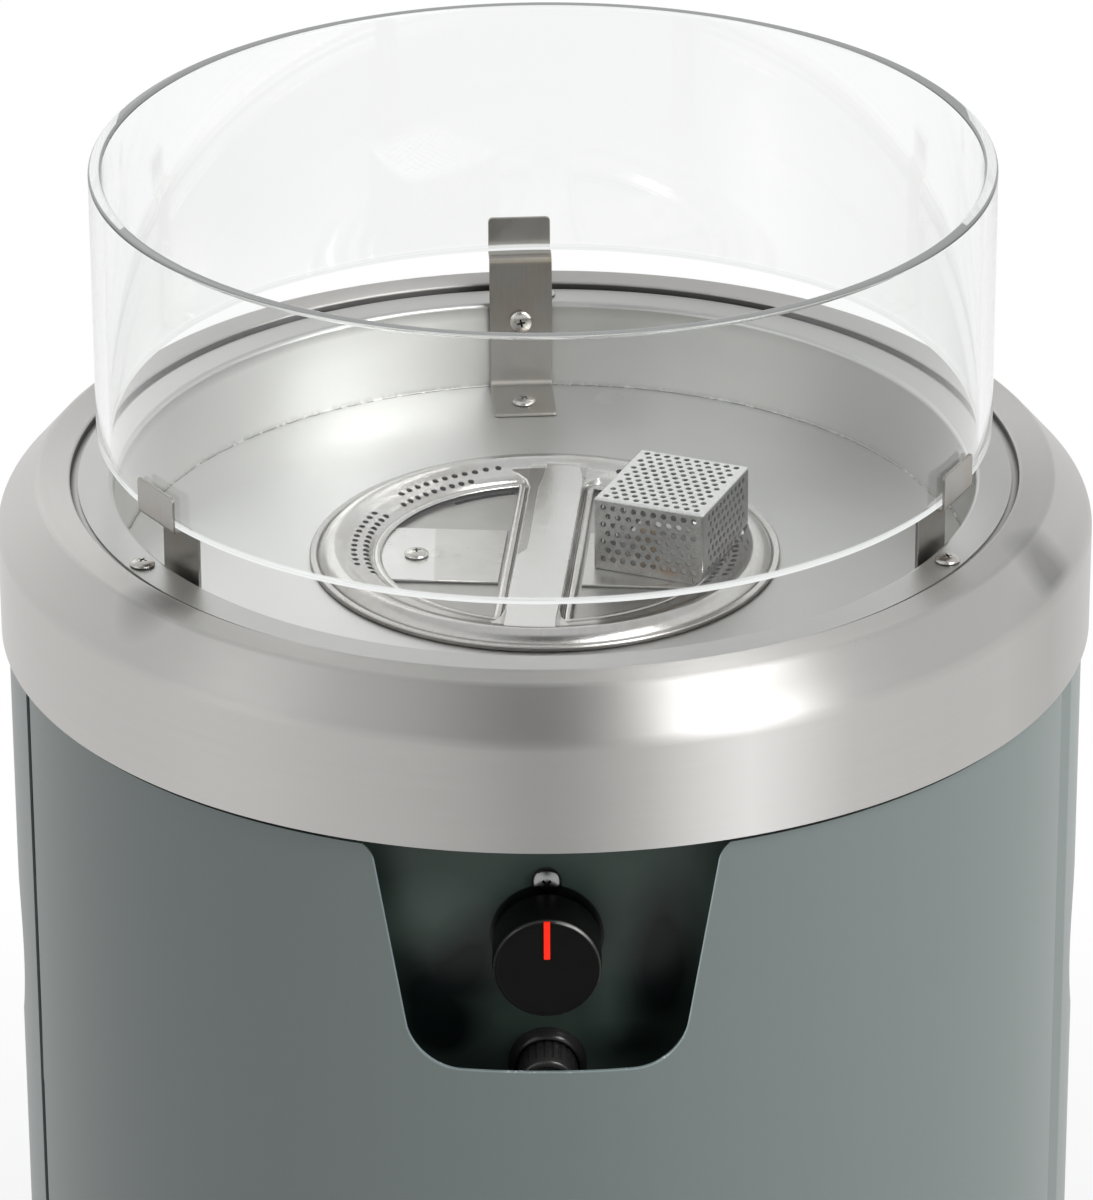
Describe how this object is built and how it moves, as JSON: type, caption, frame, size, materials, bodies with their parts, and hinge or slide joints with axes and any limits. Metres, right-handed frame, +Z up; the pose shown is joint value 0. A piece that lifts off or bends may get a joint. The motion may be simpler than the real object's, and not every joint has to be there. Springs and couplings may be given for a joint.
{
  "type": "gas patio heater",
  "caption": "Round gas fire column: a ring burner in a stainless pan behind a glass ring, with a curved bottle door, a control knob and an igniter button.",
  "frame": {"origin": "on the floor under the middle of the column, at the level of the feet's undersides", "axes": "+Z up, -Y towards the front with the knob, +X to the right seen from the front"},
  "size_m": [0.5, 0.5, 1.019],
  "materials": {
    "stainless": "brushed",
    "clear_glass": "clear, polished edges",
    "body_paint": "grey-green satin powder coat",
    "panel_paint": "dark gloss",
    "black_plastic": "satin moulded",
    "red_plastic": "satin",
    "brass": "turned",
    "ceramic": "glazed ceramic",
    "zinc": "zinc plated",
    "rubber": "matte"
  },
  "bodies": {
    "column": {"base_plate": "body_paint", "blank_plate": "stainless", "blank_plate_screw": "stainless", "bottle_ring": "zinc", "burner_base": "stainless", "burner_pan": "stainless", "burner_top": "stainless", "catch_magnet": "black_plastic", "clip_back_foot_screw": "stainless", "clip_back_leg_screw": "stainless", "clip_left_foot_screw": "stainless", "clip_left_leg_screw": "stainless", "clip_right_foot_screw": "stainless", "clip_right_leg_screw": "stainless", "control_panel": "panel_paint", "foot_1": "rubber", "foot_2": "rubber", "foot_3": "rubber", "foot_4": "rubber", "gas_jet": "brass", "gas_pipe": "brass", "gas_valve": "brass", "glass_clip_back": "stainless", "glass_clip_left": "stainless", "glass_clip_right": "stainless", "guard_cage": "stainless", "hinge_bracket_bottom": "zinc", "hinge_bracket_top": "zinc", "hinge_pin_bottom": "zinc", "hinge_pin_top": "zinc", "hose_inlet": "brass", "igniter_body": "black_plastic", "igniter_collar": "black_plastic", "mixing_tube": "zinc", "pan_screw_1": "stainless", "pan_screw_2": "stainless", "pan_screw_3": "stainless", "panel_screw": "zinc", "partition": "zinc", "pilot_burner": "brass", "pilot_plate": "stainless", "rear_shell": "body_paint", "spark_electrode": "ceramic", "thermocouple": "zinc", "top_cap": "stainless"},
    "glass": {"glass_ring": "clear_glass"},
    "door": {"front_door": "body_paint"},
    "spindle": {"valve_spindle": "zinc"},
    "knob": {"control_knob": "black_plastic", "knob_pointer": "red_plastic"},
    "button": {"igniter_button": "black_plastic"}
  },
  "joints": [
    {"name": "door_hinge", "type": "hinge", "parent": "column", "child": "door", "pos_m": [-0.22524, -0.08287, 0.42], "axis": [0, 0, -1], "range_deg": [0, 105]},
    {"name": "glass_lift", "type": "slide", "parent": "column", "child": "glass", "axis": [0, 0, 1], "range_m": [0, 0.25]},
    {"name": "spindle_push", "type": "slide", "parent": "column", "child": "spindle", "axis": [0, 1, 0], "range_m": [0, 0.003], "stiffness_N_per_m": 900},
    {"name": "knob_turn", "type": "hinge", "parent": "spindle", "child": "knob", "pos_m": [0, -0.2065, 0.732], "axis": [0, -1, 0], "range_deg": [0, 180]},
    {"name": "button_push", "type": "slide", "parent": "column", "child": "button", "axis": [0, 1, 0], "range_m": [0, 0.004], "stiffness_N_per_m": 500}
  ]
}
